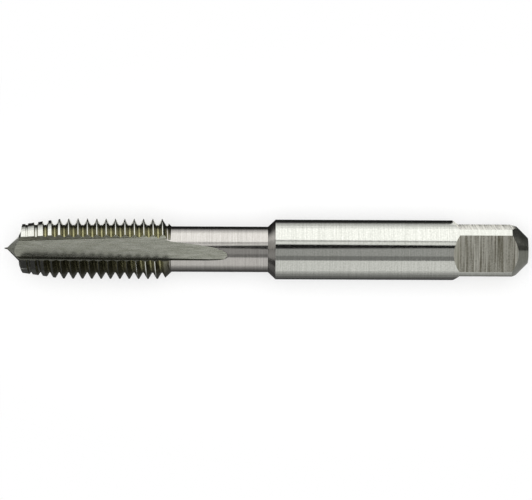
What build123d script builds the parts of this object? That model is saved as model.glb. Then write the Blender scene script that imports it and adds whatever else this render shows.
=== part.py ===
"""A machine tap that cuts an M8 x 1.25 thread: one ground bar of high-speed steel.

The bar is drawn standing on its cutting end along +Z, where a station z is the distance
from the tip of the male centre, and is laid along +X at the end. Lengths are in
millimetres and angles in degrees.
"""

import os
from math import acos, atan, ceil, cos, degrees, floor, radians, sin, tan

from build123d import *

# Thread: metric coarse M8, right hand, ground to a narrow crest and a narrow root.
PITCH = 1.25
MAJOR_R = 4.03
CREST_FLAT = 0.10
ROOT_FLAT = 0.19
FLANK_HALF_ANGLE = 30.0
THREAD_START_Z = 0.15

# Cutting end: male centre with a small nib, front face, chamfered lead.
NIB_R = 0.14
NIB_TIP_R = 0.07
NIB_LEN = 0.38
CENTRE_R = 1.81
CENTRE_HALF_ANGLE = 45.0
FACE_R = 2.45
FACE_CHAMFER = 0.35
LEAD_START_R = 3.23
LEAD_ANGLE = 8.0
LEAD_RELIEF = 0.12

# Lengths along the bar. The threaded length and the whole length start at the tip.
THREAD_LEN = 21.35
THREAD_BEVEL = 1.0
NECK_LEN = 12.9
LENGTH = 70.0
SQUARE_LEN = 9.25

# Neck, shank and driving end.
NECK_R = 3.045
SHANK_R = 4.0
SHOULDER_ANGLE = 43.0
SQUARE_AF = 6.3
SQUARE_SIDES = 4
SQUARE_TURN = 8.5
RAMP_ANGLE = 45.0
END_FACE_R = 1.71
END_ANGLE = 45.0

# Straight flutes that deepen evenly towards the tip, ground by a wheel that lifts out along
# the neck. The web is given at the tip and where the wheel starts to lift.
FLUTES = 2
FLUTE_LEN = 27.5
TIP_WEB_R = 1.08
WEB_R = 2.83
FLOOR_TILT = 15.5
EDGE_ANGLE = 24.5
HOOK_ANGLE = 15.5
HEEL_ANGLE = 27.6
HEEL_LEAN = 5.2
FLUTE_FILLET = 0.15
WHEEL_R = 50.0

# How far each cutter reaches past the bar, how deep a ridge is rooted in the core, how far
# it runs on into both flutes before they are cut, and the smallest trimmed piece kept.
CLEAR = 2.0
SINK = 0.25
OVERRUN_ANGLE = 4.0
SPECK_VOLUME = 0.002

# Worked out from the sizes above.
FLANK_RUN = tan(radians(FLANK_HALF_ANGLE))
ROOT_R = MAJOR_R - (PITCH - CREST_FLAT - ROOT_FLAT) / (2.0 * FLANK_RUN)
REACH_R = max(MAJOR_R, SHANK_R) + CLEAR
FACE_Z = NIB_LEN + (CENTRE_R - NIB_R) / tan(radians(CENTRE_HALF_ANGLE))
LEAD_Z = FACE_Z + FACE_CHAMFER
NECK_Z = THREAD_LEN + THREAD_BEVEL
SHOULDER_Z = NECK_Z + NECK_LEN
SHANK_Z = SHOULDER_Z + (SHANK_R - NECK_R) / tan(radians(SHOULDER_ANGLE))
SQUARE_Z = LENGTH - SQUARE_LEN
RAMP_Z = SQUARE_Z - (SHANK_R - SQUARE_AF / 2.0) / tan(radians(RAMP_ANGLE))
END_CONE_Z = LENGTH - (SHANK_R - END_FACE_R) / tan(radians(END_ANGLE))
SHANK_MID_Z = (SHANK_Z + RAMP_Z) / 2.0


def turned(points):
    """Solid of revolution from (radius, station) points that start and end on the axis."""
    outline = Polyline([(r, 0, z) for r, z in points], close=True)
    return revolve(make_face(outline), Axis.Z, 360.0)


def blank():
    """The turned and ground bar, at root size where the thread will stand."""
    return turned([
        (0, 0),
        (NIB_TIP_R, 0),
        (NIB_R, NIB_LEN),
        (CENTRE_R, FACE_Z),
        (FACE_R, FACE_Z),
        (ROOT_R, LEAD_Z),
        (ROOT_R, THREAD_LEN),
        (NECK_R, NECK_Z),
        (NECK_R, SHOULDER_Z),
        (SHANK_R, SHANK_Z),
        (SHANK_R, END_CONE_Z),
        (END_FACE_R, LENGTH),
        (0, LENGTH),
    ])


def helix(radius, start, angle_from, angle_to):
    """Right-hand helix between two angles that would pass station start at angle zero."""
    rise = PITCH * (angle_to - angle_from) / 360.0
    curve = Edge.make_helix(PITCH, rise, radius)
    return Pos(0, 0, start + PITCH * angle_from / 360.0) * (Rot(0, 0, angle_from) * curve)


def ridge(start, angle_from, angle_to):
    """One thread ridge across a land: a trapezium swept along the helix."""
    base_r = ROOT_R - SINK
    half_crest = CREST_FLAT / 2.0
    half_base = half_crest + (MAJOR_R - base_r) * FLANK_RUN
    rails = [
        helix(base_r, start - half_base, angle_from, angle_to),
        helix(MAJOR_R, start - half_crest, angle_from, angle_to),
        helix(MAJOR_R, start + half_crest, angle_from, angle_to),
        helix(base_r, start + half_base, angle_from, angle_to),
    ]
    sides = [Face.make_surface_from_curves(a, b) for a, b in zip(rails, rails[1:] + rails[:1])]
    ends = [Face(Wire.make_polygon([rail @ place for rail in rails])) for place in (0.0, 1.0)]
    return Solid(Shell(sides + ends))


def lead_space(edge_angle):
    """Space inside the lead chamfer of one land, off centre so that the heel is relieved."""
    wide_z = LEAD_Z + (REACH_R - LEAD_START_R) / tan(radians(LEAD_ANGLE))
    cone = turned([
        (0, FACE_Z),
        (FACE_R, FACE_Z),
        (LEAD_START_R, LEAD_Z),
        (REACH_R, wide_z),
        (REACH_R, LENGTH),
        (0, LENGTH),
    ])
    away = radians(edge_angle)
    return Pos(LEAD_RELIEF * cos(away), LEAD_RELIEF * sin(away), 0) * cone


def tail_space():
    """Space inside the bevel at the back of the thread."""
    run = THREAD_BEVEL / (MAJOR_R - NECK_R)
    return turned([
        (0, 0),
        (REACH_R, 0),
        (REACH_R, NECK_Z - (REACH_R - NECK_R) * run),
        (NECK_R, NECK_Z),
        (0, NECK_Z),
    ])


def teeth(edge_angle):
    """Thread ridges of the land that starts at a cutting edge, chamfered at both ends."""
    angle_from = edge_angle - OVERRUN_ANGLE
    angle_to = edge_angle + 360.0 / FLUTES - HEEL_ANGLE - EDGE_ANGLE + OVERRUN_ANGLE
    space = lead_space(edge_angle) & tail_space()
    first = floor((FACE_Z - THREAD_START_Z) / PITCH - angle_to / 360.0)
    last = ceil((NECK_Z - THREAD_START_Z) / PITCH - angle_from / 360.0)
    kept = []
    for turn in range(first, last + 1):
        common = ridge(THREAD_START_Z + PITCH * turn, angle_from, angle_to) & space
        if common:
            kept += [piece for piece in common.solids() if piece.volume > SPECK_VOLUME]
    return kept


def meet(point_a, angle_a, point_b, angle_b):
    """Crossing of two lines, each given by a point and a direction."""
    ax, ay = point_a
    bx, by = point_b
    dax, day = cos(radians(angle_a)), sin(radians(angle_a))
    dbx, dby = cos(radians(angle_b)), sin(radians(angle_b))
    along = ((bx - ax) * dby - (by - ay) * dbx) / (dax * dby - day * dbx)
    return (ax + along * dax, ay + along * day)


def polar(radius, angle):
    """Plane point at a radius and an angle."""
    return (radius * cos(radians(angle)), radius * sin(radians(angle)))


def flute_section(z):
    """Section of the flute at a station: hooked cutting face, tilted floor and heel wall."""
    web_r = TIP_WEB_R + (WEB_R - TIP_WEB_R) * z / FLUTE_LEN
    foot = polar(web_r, FLOOR_TILT)
    edge = polar(MAJOR_R, EDGE_ANGLE)
    heel = polar(MAJOR_R, -HEEL_ANGLE)
    floor_angle = FLOOR_TILT + 90.0
    face_angle = EDGE_ANGLE - HOOK_ANGLE
    wall_angle = HEEL_LEAN - HEEL_ANGLE
    face_step = polar(CLEAR, face_angle)
    wall_step = polar(CLEAR, wall_angle)
    return Pos(0, 0, z) * Wire.make_polygon([
        meet(edge, face_angle, foot, floor_angle),
        meet(heel, wall_angle, foot, floor_angle),
        (heel[0] + wall_step[0], heel[1] + wall_step[1]),
        (edge[0] + face_step[0], edge[1] + face_step[1]),
    ])


def flute_cutter():
    """Flute from the tip to where the wheel starts to lift, then the arc of the lift."""
    block = Solid.make_loft([flute_section(-CLEAR), flute_section(FLUTE_LEN)], ruled=True)
    rims = block.edges().filter_by(lambda edge: edge.length > FLUTE_LEN)
    block = fillet(rims.sort_by(Axis.X)[:2], FLUTE_FILLET)
    rise = atan((WEB_R - TIP_WEB_R) / FLUTE_LEN)
    wheel_x = WEB_R + WHEEL_R * cos(rise)
    wheel_axis = Axis((wheel_x, 0, FLUTE_LEN - WHEEL_R * sin(rise)), (0, 1, 0))
    lift_angle = degrees(acos((wheel_x - REACH_R) / WHEEL_R) - rise)
    return block + revolve(block.faces().sort_by(Axis.Z)[-1], wheel_axis, lift_angle)


def square_waste():
    """Metal ground off one side for a flat of the driving square, with its ramp."""
    half = SQUARE_AF / 2.0
    ramp = (REACH_R - half) / tan(radians(RAMP_ANGLE))
    side = Polyline([
        (half, 0, SQUARE_Z),
        (REACH_R, 0, SQUARE_Z - ramp),
        (REACH_R, 0, LENGTH + CLEAR),
        (half, 0, LENGTH + CLEAR),
    ], close=True)
    return extrude(make_face(side), REACH_R, dir=(0, 1, 0), both=True)


def around(shape, count, turn=0.0):
    """Copies of a shape evenly spaced about the axis."""
    return [Rot(0, 0, turn + 360.0 / count * i) * shape for i in range(count)]


def tap():
    """The finished tap, standing on its cutting end."""
    ridges = []
    for i in range(FLUTES):
        ridges += teeth(EDGE_ANGLE + 360.0 / FLUTES * i)
    bar = blank().fuse(*ridges)
    bar = bar.cut(*around(flute_cutter(), FLUTES))
    return bar.cut(*around(square_waste(), SQUARE_SIDES, SQUARE_TURN))


# The bar lies along +X with its tip towards -X, one flute facing up and the other one down.
# The origin is on the axis, halfway along the plain shank.
lying = Plane(origin=(-SHANK_MID_Z, 0, 0), x_dir=(0, 0, 1), z_dir=(1, 0, 0)).location
os.makedirs("parts", exist_ok=True)
export_step(lying * tap(), "parts/tap.step")
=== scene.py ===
import math

import bmesh
import bpy
from mathutils import Matrix, Vector


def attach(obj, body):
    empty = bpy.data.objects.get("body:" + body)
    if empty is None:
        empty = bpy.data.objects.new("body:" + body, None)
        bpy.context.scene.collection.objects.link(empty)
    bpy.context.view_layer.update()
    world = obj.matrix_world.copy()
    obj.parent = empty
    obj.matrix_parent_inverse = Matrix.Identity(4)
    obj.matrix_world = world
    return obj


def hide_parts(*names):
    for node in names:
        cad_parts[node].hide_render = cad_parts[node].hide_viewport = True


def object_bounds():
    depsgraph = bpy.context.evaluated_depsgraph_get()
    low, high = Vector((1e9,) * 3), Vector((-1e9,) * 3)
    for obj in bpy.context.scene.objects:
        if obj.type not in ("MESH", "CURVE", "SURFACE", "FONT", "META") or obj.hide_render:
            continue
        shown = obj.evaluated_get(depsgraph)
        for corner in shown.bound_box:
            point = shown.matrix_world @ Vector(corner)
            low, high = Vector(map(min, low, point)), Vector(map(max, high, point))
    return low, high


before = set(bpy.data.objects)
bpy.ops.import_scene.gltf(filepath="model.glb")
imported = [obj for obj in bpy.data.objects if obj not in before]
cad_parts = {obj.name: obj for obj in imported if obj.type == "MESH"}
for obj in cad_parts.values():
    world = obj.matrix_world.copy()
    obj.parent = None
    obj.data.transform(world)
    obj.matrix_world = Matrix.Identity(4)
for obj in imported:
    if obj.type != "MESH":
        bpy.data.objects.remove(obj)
cad_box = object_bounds()

# ---------------------------------------------------------------- the bar
# The tap is one bar of high-speed steel, hardened and then ground all over. The visible
# piece is its solid joined into one closed skin, and each corner keeps the direction of the
# true cylinder, cone or helix under it.
MM = 0.001
WELD = 0.00005 * MM
TIP_X = cad_box[0][0]
END_X = cad_box[1][0]

tap = bpy.data.objects.new("thread_tap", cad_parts["tap"].data.copy())
bpy.context.collection.objects.link(tap)
skin = tap.data
directions = [Vector(corner.vector) for corner in skin.corner_normals]
bm = bmesh.new()
bm.from_mesh(skin)
bmesh.ops.remove_doubles(bm, verts=bm.verts, dist=WELD)
if len(bm.faces) == len(skin.polygons):
    bm.to_mesh(skin)
    skin.normals_split_custom_set(directions)
bm.free()
skin.materials.clear()
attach(tap, "root")
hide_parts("tap")

# ---------------------------------------------------------------- shank, neck and shoulder
# The round parts are ground between centres, which leaves very fine lines round the bar.
# They are bright and clean, and the lines break each reflection into short strokes. The neck
# and the shoulder are ground with a coarser wheel and are a little duller.
THREAD_END = 21.4
NECK_END = 35.2
SHOULDER_FROM, SHOULDER_TO = 34.0, 37.0
STEEP = 0.6

# Size in mm of the blots in the finish, the two noise values that its tones are spread
# between, and how far its roughness goes below and above the given one.
BLOT = 0.22
NOISE_LOW, NOISE_HIGH = 0.32, 0.68
SMOOTHER, ROUGHER = 0.8, 1.2


def linear(code):
    """Linear colour of an sRGB hex value."""
    shares = [int(code[i:i + 2], 16) / 255.0 for i in (1, 3, 5)]
    return [c / 12.92 if c <= 0.04045 else ((c + 0.055) / 1.055) ** 2.4 for c in shares] + [1.0]


def add(tree, kind, sockets=None, **settings):
    """Adds a node with its settings, and fills its sockets with values or links."""
    made = tree.nodes.new(kind)
    for name, value in settings.items():
        setattr(made, name, value)
    for name, value in (sockets or {}).items():
        if isinstance(value, bpy.types.NodeSocket):
            tree.links.new(value, made.inputs[name])
        else:
            made.inputs[name].default_value = value
    return made


def ground_steel(name, dark, light, roughness, cell, depth, fleck):
    """Ground steel with scratches in cells of a size in mm, that vary in tone, shine and height.

    Real grinding scratches are some hundredths of a millimetre wide, too fine to show, so they
    are drawn about as wide as a pixel of the render, 0.13 mm.
    """
    material = bpy.data.materials.new(name)
    material.use_nodes = True
    tree = material.node_tree
    tree.nodes.clear()
    place = add(tree, "ShaderNodeTexCoord").outputs["Object"]
    lay = add(tree, "ShaderNodeMapping", {"Vector": place, "Scale": [1.0 / (size * MM) for size in cell]})
    lines = add(tree, "ShaderNodeTexNoise", {"Vector": lay.outputs[0], "Scale": 1.0, "Detail": 2.0})
    blots = add(tree, "ShaderNodeTexNoise", {"Vector": place, "Scale": 1.0 / (BLOT * MM), "Detail": 2.0})
    mixed = add(tree, "ShaderNodeMix", {
        "Factor": fleck, "A": lines.outputs["Fac"], "B": blots.outputs["Fac"]})
    height = mixed.outputs["Result"]
    tone = add(tree, "ShaderNodeMapRange", {"Value": height, "From Min": NOISE_LOW, "From Max": NOISE_HIGH})
    ramp = add(tree, "ShaderNodeValToRGB", {"Fac": tone.outputs[0]})
    ramp.color_ramp.elements[0].color = linear(dark)
    ramp.color_ramp.elements[1].color = linear(light)
    shine = add(tree, "ShaderNodeMapRange", {
        "Value": height, "From Min": NOISE_LOW, "From Max": NOISE_HIGH,
        "To Min": roughness * SMOOTHER, "To Max": roughness * ROUGHER})
    bump = add(tree, "ShaderNodeBump", {"Height": height, "Strength": 1.0, "Distance": depth * MM})
    shader = add(tree, "ShaderNodeBsdfPrincipled", {
        "Base Color": ramp.outputs["Color"], "Metallic": 1.0, "Roughness": shine.outputs[0],
        "Normal": bump.outputs["Normal"]})
    add(tree, "ShaderNodeOutputMaterial", {"Surface": shader.outputs["BSDF"]})
    return material


def cover(material, wanted):
    """Gives a material to the faces that pass a test.

    The test gets the station from the tip and the radius, both in mm, how far the face looks
    outward, which is 1 on a cylinder and less on a sloping or cut surface, and the face.
    """
    skin.materials.append(material)
    for face in skin.polygons:
        station = (face.center.x - TIP_X) / MM
        radius = math.hypot(face.center.y, face.center.z) / MM
        outward = (face.center.y * face.normal.y + face.center.z * face.normal.z) / (radius * MM)
        if wanted(station, radius, outward, face):
            face.material_index = len(skin.materials) - 1


cover(ground_steel("cylindrically_ground_steel", "#B5B6AF", "#CCCDC6", 0.10, (0.13, 5, 5), 0.0008, 0.5),
      lambda station, radius, outward, face: True)
cover(ground_steel("coarse_ground_neck", "#A9A6A1", "#BAB7B2", 0.15, (0.16, 5, 5), 0.0006, 0.3),
      lambda station, radius, outward, face: THREAD_END < station < NECK_END)
cover(ground_steel("coarse_ground_shoulder", "#9C9994", "#B4B1AB", 0.20, (0.2, 5, 5), 0.0008, 0.3),
      lambda station, radius, outward, face: SHOULDER_FROM < station < SHOULDER_TO
      and face.normal.x < -STEEP)

# ---------------------------------------------------------------- thread
# The thread is ground with a dressed wheel. Its crests are bright and its flanks darker. Its
# roots are painted a dark straw colour: painted shade in the grooves, with a painted warm tint
# of light bounced between the flanks.
LEAD_FROM, BEVEL_END = 2.3, 22.5
FLANK_FOOT_R, FLANK_TOP_R = 3.1, 4.1
FIRST_ROOT, LAST_ROOT = 5.5, 21.5
ROOT_LOW_R, ROOT_HIGH_R = 3.15, 3.28
ROOT_OUTWARD = 0.97

cover(ground_steel("thread_ground_flank", "#8A8874", "#AAA893", 0.20, (0.1, 1, 1), 0.0006, 0.5),
      lambda station, radius, outward, face: LEAD_FROM < station < BEVEL_END
      and FLANK_FOOT_R < radius < FLANK_TOP_R and abs(face.normal.x) > STEEP)
# The roots are painted dark and straw-coloured: painted shade in the thread's grooves.
cover(ground_steel("painted_shade_root", "#6E6C50", "#A19E78", 0.24, (0.16, 1, 1), 0.0006, 0.5),
      lambda station, radius, outward, face: FIRST_ROOT < station < LAST_ROOT
      and ROOT_LOW_R < radius < ROOT_HIGH_R and outward > ROOT_OUTWARD)

# ---------------------------------------------------------------- flutes
# Each flute is ground lengthwise by the edge of a wheel. The long scratches spread a
# reflection across them, so the slightly green floor looks flat and even, and the rougher
# heel softer still. The cutting face beside it is painted near black, as painted shade
# along the cutting edge.
FLUTE_END = 33.0

# Only a flute reaches inside these radii, below the thread root and below the neck.
UNDER_THREAD_R = 3.15
UNDER_NECK_R = 3.025

# The floor leans 0.27 or more towards the heel, and the cutting face looks the other way.
FACE_SIDE = -0.2
FLUTE_OUTWARD = 0.9
FLUTE_SLOPE = 0.3
WALL_UPWARD = 0.6


def in_flute(station, radius, outward, face):
    """True for the faces cut by the flute wheel, which run nearly level along the bar."""
    under_r = UNDER_THREAD_R if station < THREAD_END else UNDER_NECK_R
    cut = outward < FLUTE_OUTWARD or radius < under_r
    return cut and station < FLUTE_END and abs(face.normal.x) < FLUTE_SLOPE


cover(ground_steel("lengthwise_ground_floor", "#CBCDBB", "#EAEBDE", 0.27, (7, 0.12, 0.12), 0.0010, 0.15),
      in_flute)
cover(ground_steel("ground_heel", "#D2D3C3", "#E6E7DA", 0.60, (7, 0.12, 0.12), 0.0010, 0.15),
      lambda station, radius, outward, face: in_flute(station, radius, outward, face)
      and abs(face.normal.z) < WALL_UPWARD)
# The cutting face is painted near black: painted shade along the cutting edge, which the floor beside it
# also shows in its shine.
cover(ground_steel("painted_shade_cutting_face", "#1E1E1A", "#33332B", 0.24, (7, 0.12, 0.12), 0.0010, 0.3),
      lambda station, radius, outward, face: in_flute(station, radius, outward, face)
      and face.normal.y * face.center.z > FACE_SIDE * abs(face.center.z))

# ---------------------------------------------------------------- male centre and front face
# The point is turned before hardening and left with a dull oxide in its turning lines, so it
# is darker than the ground flutes.
POINT_END = 2.1
POINT_STEEP = 0.5

cover(ground_steel("turned_point", "#75766D", "#97988E", 0.16, (0.1, 2, 2), 0.0010, 0.5),
      lambda station, radius, outward, face: station < POINT_END and face.normal.x < -POINT_STEEP)

# ---------------------------------------------------------------- driving square
# Four flats are ground straight across the bar by a coarse wheel, and the end is turned to
# a blunt cone. The flats carry clear strokes in several browns and greys, and the ramps that
# lead to them are rougher still.
SQUARE_FROM, RAMP_TO = 59.0, 62.0
END_CONE_FROM = 67.7
SHANK_R = 4.0
FLAT_OUTWARD = 0.998

cover(ground_steel("cross_ground_flat", "#767260", "#E4E3D7", 0.28, (0.20, 6, 6), 0.0020, 0.2),
      lambda station, radius, outward, face: station > SQUARE_FROM and radius < SHANK_R
      and outward < FLAT_OUTWARD)
cover(ground_steel("cross_ground_ramp", "#B5B3A2", "#E6E5DA", 0.50, (0.22, 9, 9), 0.0016, 0.1),
      lambda station, radius, outward, face: SQUARE_FROM < station < RAMP_TO and face.normal.x > STEEP)
cover(ground_steel("turned_end", "#8E8F85", "#A9AAA0", 0.22, (0.1, 3, 3), 0.0010, 0.5),
      lambda station, radius, outward, face: station > END_CONE_FROM and face.normal.x > STEEP)

# ---------------------------------------------------------------- table
# A plain white board with a matt face carries the tap. Near the tap it is partly shaded,
# which keeps a light shadow, and farther off it is plain white to the eye. The shaded zone
# is longer along the bar than across it.
FLOOR_Z = cad_box[0][2]
TABLE_HALF = 700 * MM
PLAIN_NEAR = 0.6
SHADED_TO, PLAIN_FROM = 12 * MM, 30 * MM
ALONG_SQUEEZE = 0.4

bm = bmesh.new()
bmesh.ops.create_grid(bm, x_segments=1, y_segments=1, size=TABLE_HALF)
bmesh.ops.translate(bm, verts=bm.verts, vec=(0, 0, FLOOR_Z))
board = bpy.data.meshes.new("table")
bm.to_mesh(board)
bm.free()
table = bpy.data.objects.new("table", board)
bpy.context.collection.objects.link(table)


def plain_rays(tree):
    """One for camera, glossy and transmission rays, and nought for light."""
    rays = add(tree, "ShaderNodeLightPath").outputs
    some = add(tree, "ShaderNodeMath", {0: rays["Is Camera Ray"], 1: rays["Is Glossy Ray"]}, operation="ADD")
    return add(tree, "ShaderNodeMath", {0: some.outputs[0], 1: rays["Is Transmission Ray"]},
               operation="ADD", use_clamp=True).outputs[0]


matt_board = bpy.data.materials.new("matt_white_board")
matt_board.use_nodes = True
tree = matt_board.node_tree
tree.nodes.clear()
matt = add(tree, "ShaderNodeBsdfDiffuse", {"Color": linear("#F2F2F2")})
glow = add(tree, "ShaderNodeEmission", {"Strength": 1.0})
place = add(tree, "ShaderNodeTexCoord").outputs["Object"]
flat = add(tree, "ShaderNodeVectorMath", {0: place, 1: (ALONG_SQUEEZE, 1.0, 0.0)}, operation="MULTIPLY")
away = add(tree, "ShaderNodeVectorMath", {0: flat.outputs["Vector"]}, operation="LENGTH")
far = add(tree, "ShaderNodeMapRange", {
    "Value": away.outputs["Value"], "From Min": SHADED_TO, "From Max": PLAIN_FROM,
    "To Min": PLAIN_NEAR}, interpolation_type="SMOOTHSTEP")
share = add(tree, "ShaderNodeMath", {0: far.outputs[0], 1: plain_rays(tree)}, operation="MULTIPLY")
both = add(tree, "ShaderNodeMixShader", {0: share.outputs[0], 1: matt.outputs[0], 2: glow.outputs[0]})
add(tree, "ShaderNodeOutputMaterial", {"Surface": both.outputs[0]})
board.materials.append(matt_board)

# ---------------------------------------------------------------- light
# A white room with a wide soft lamp straight overhead. Reflections show the room and the
# cards of the next section, and not the lamp.
ROOM_LIGHT = 0.35
LAMP_SIDE = 500 * MM
LAMP_HEIGHT = 500 * MM
LAMP_RADIANCE = 3.6

world = bpy.data.worlds.new("room")
bpy.context.scene.world = world
world.use_nodes = True
tree = world.node_tree
tree.nodes.clear()
level = add(tree, "ShaderNodeMapRange", {"Value": plain_rays(tree), "To Min": ROOM_LIGHT, "To Max": 1.0})
sky = add(tree, "ShaderNodeBackground", {"Color": (1, 1, 1, 1), "Strength": level.outputs[0]})
add(tree, "ShaderNodeOutputWorld", {"Surface": sky.outputs[0]})

lamp_data = bpy.data.lights.new("overhead_lamp", "AREA")
lamp_data.shape = "SQUARE"
lamp_data.size = LAMP_SIDE
lamp_data.energy = LAMP_RADIANCE * math.pi * LAMP_SIDE ** 2
lamp = bpy.data.objects.new("overhead_lamp", lamp_data)
bpy.context.collection.objects.link(lamp)
lamp.location = (0, 0, LAMP_HEIGHT)
lamp.visible_camera = False
lamp.visible_glossy = False

# ---------------------------------------------------------------- cards
# Long cards and flags round the bar, seen only in its shine: they give the bands of white,
# grey and black that run along a polished round bar.
ARC_AWAY = 240 * MM
ARC_HALF = 600 * MM
ARC_STEPS = 16
WALL_HIGH = 40

# Heights in mm above the table of the sheets that lie over each other.
LOW, MIDDLE, TOP = 0.1, 0.2, 0.3


def show(name, mesh, radiance):
    """Puts a card of even brightness in the scene, for reflections only."""
    card = bpy.data.objects.new(name, mesh)
    bpy.context.collection.objects.link(card)
    material = bpy.data.materials.new(name)
    material.use_nodes = True
    tree = material.node_tree
    tree.nodes.clear()
    glow = add(tree, "ShaderNodeEmission", {"Strength": radiance})
    add(tree, "ShaderNodeOutputMaterial", {"Surface": glow.outputs[0]})
    mesh.materials.append(material)
    card.visible_camera = False
    card.visible_diffuse = False
    card.visible_shadow = False
    card.visible_transmission = False


def arc(name, low, high, radiance, away=ARC_AWAY, x_from=-ARC_HALF, x_to=ARC_HALF):
    """A card bent round the bar between two angles from straight above it, far side positive."""
    bm = bmesh.new()
    start = math.radians(low)
    rim = [bm.verts.new((x, away * math.sin(start), away * math.cos(start))) for x in (x_from, x_to)]
    edge = bm.edges.new(rim)
    bmesh.ops.spin(bm, geom=[edge] + rim, cent=(0, 0, 0), axis=(1, 0, 0), angle=math.radians(low - high),
                   steps=ARC_STEPS, use_merge=False)
    mesh = bpy.data.meshes.new(name)
    bm.to_mesh(mesh)
    bm.free()
    show(name, mesh, radiance)


def panel(name, middle, size, radiance, turn=0.0):
    """A flat card, with its middle in metres and its length and width in mm, turned about Y."""
    bm = bmesh.new()
    bmesh.ops.create_grid(bm, x_segments=1, y_segments=1, size=0.5)
    bmesh.ops.scale(bm, verts=bm.verts, vec=(size[0] * MM, size[1] * MM, 1))
    bmesh.ops.rotate(bm, verts=bm.verts, cent=(0, 0, 0), matrix=Matrix.Rotation(turn, 3, "Y"))
    bmesh.ops.translate(bm, verts=bm.verts, vec=middle)
    mesh = bpy.data.meshes.new(name)
    bm.to_mesh(mesh)
    bm.free()
    show(name, mesh, radiance)


def sheet(name, x_from, x_to, y_from, y_to, lift, radiance):
    """A card that lies over the table, in millimetres from the origin."""
    middle = ((x_from + x_to) / 2 * MM, (y_from + y_to) / 2 * MM, FLOOR_Z + lift * MM)
    panel(name, middle, (x_to - x_from, y_to - y_from), radiance)


def wall(name, x, y_from, y_to, radiance):
    """A card that stands on the table past an end of the bar, in millimetres from the origin."""
    middle = (x * MM, (y_from + y_to) / 2 * MM, FLOOR_Z + WALL_HIGH / 2 * MM)
    panel(name, middle, (WALL_HIGH, y_to - y_from), radiance, math.pi / 2)


# Over the bar, from level on the near side to level on the far side. Each card starts where
# the last one ends.
angle = -90
for name, angle_to, radiance in (
        ("low_card", -42.3, 0.95),
        ("dim_card", -24, 0.28),
        ("grey_card", 8, 0.475),
        ("camera_hood", 20, 0.01),
        ("pale_card", 31, 1.15),
        ("edge_card", 37, 0.66),
        ("far_softbox", 90, 1.7)):
    arc(name, angle, angle_to, radiance)
    angle = angle_to

# Close to the thread, to keep its near side dark.
PAST_POINT_X = -60
FLAG_END_X = -31
arc("thread_flag", -100, -42, 0.05, 20 * MM, PAST_POINT_X * MM, FLAG_END_X * MM)

# Over the table on the far side. The dark and grey sheets next to the bar are painted
# shadow: they stand for the tap's shadow on the table as its shine shows it. The square
# has its own, so that its far flat is pale.
REACH = 300
THREAD_CARD_END_X = -26
SQUARE_X = 12.3
sheet("far_near_painted_shadow", -REACH, SQUARE_X, 0, 10, LOW, 0.02)
sheet("far_thread_card", PAST_POINT_X, THREAD_CARD_END_X, 0, 4.55, MIDDLE, 1.3)
sheet("far_second_painted_shadow", -REACH, SQUARE_X, 10, 12.5, LOW, 0.13)
sheet("far_third_painted_shadow", -REACH, SQUARE_X, 12.5, 17, LOW, 0.6)
sheet("square_painted_shadow", SQUARE_X, REACH, 0, 4.35, LOW, 0.1)
sheet("square_card", SQUARE_X, REACH, 4.35, 17, LOW, 1.2)
sheet("far_pale_sheet", -REACH, REACH, 17, 30, LOW, 0.88)
sheet("far_white_sheet", -REACH, REACH, 30, 240, LOW, 1.3)

# Over the table on the near side. The dark and grey sheets, lighter the farther they lie
# from the bar, are painted shadow: the tap's shadow on the table as its shine shows it.
sheet("front_near_painted_shadow", -REACH, REACH, -8, 0, LOW, 0.08)
sheet("front_second_painted_shadow", -REACH, REACH, -12, -8, LOW, 0.17)
sheet("front_third_painted_shadow", -REACH, REACH, -20, -12, LOW, 0.31)
sheet("front_thread_flag", PAST_POINT_X, FLAG_END_X, -40, -8, MIDDLE, 0.08)
sheet("front_grey_painted_shadow", -REACH, REACH, -40, -20, LOW, 0.48)
sheet("front_pale_sheet", -REACH, REACH, -240, -40, LOW, 0.7)

# Past the driving end, for its cone: dark on the far side and grey on the near side.
END_CARD_X = END_X / MM - 1.5
END_WALL_X = 82
sheet("end_dark_sheet", END_CARD_X, END_WALL_X, -1, 14, MIDDLE, 0.06)
sheet("end_grey_sheet", END_CARD_X, END_WALL_X, -14, -1, MIDDLE, 0.42)
wall("end_dark_wall", END_WALL_X, -1, 40, 0.06)
wall("end_grey_wall", END_WALL_X, -40, -1, 0.42)

# Past the point, for its cone and the front face: pale on both sides of a dark middle.
TIP_CARD_X = TIP_X / MM - 1
TIP_FLAG_X = -56
TIP_WALL_X = -108
sheet("tip_far_sheet", TIP_WALL_X, TIP_CARD_X, 0, 20, MIDDLE, 0.55)
sheet("tip_edge_flag", TIP_FLAG_X, TIP_CARD_X, -3.5, 3.5, TOP, 0.05)
sheet("tip_near_sheet", TIP_WALL_X, TIP_CARD_X, -20, 0, MIDDLE, 0.5)
wall("tip_far_wall", TIP_WALL_X, 6, 40, 0.55)
wall("tip_dark_wall", TIP_WALL_X, -6, 6, 0.02)
wall("tip_near_wall", TIP_WALL_X, -40, -6, 0.5)

# ---------------------------------------------------------------- camera
# It looks straight down on the bar, turned slightly so that the bar runs down to the right.
CAMERA_AWAY = 380 * MM
CAMERA_STATION = 35 * MM
CAMERA_SIDE = -0.075 * MM
CAMERA_ROLL = 0.25
IMAGE_WIDE = 532
PIXELS_PER_MM = 7.47
SENSOR = 36.0

camera_data = bpy.data.cameras.new("camera")
camera_data.lens = SENSOR * CAMERA_AWAY / (IMAGE_WIDE / PIXELS_PER_MM * MM)
camera_data.clip_start = 0.01
camera_data.clip_end = 10
camera = bpy.data.objects.new("camera", camera_data)
bpy.context.collection.objects.link(camera)
camera.location = (TIP_X + CAMERA_STATION, CAMERA_SIDE, CAMERA_AWAY)
camera.rotation_euler = (0, 0, math.radians(CAMERA_ROLL))
bpy.context.scene.camera = camera
bpy.context.scene.view_settings.view_transform = "Standard"
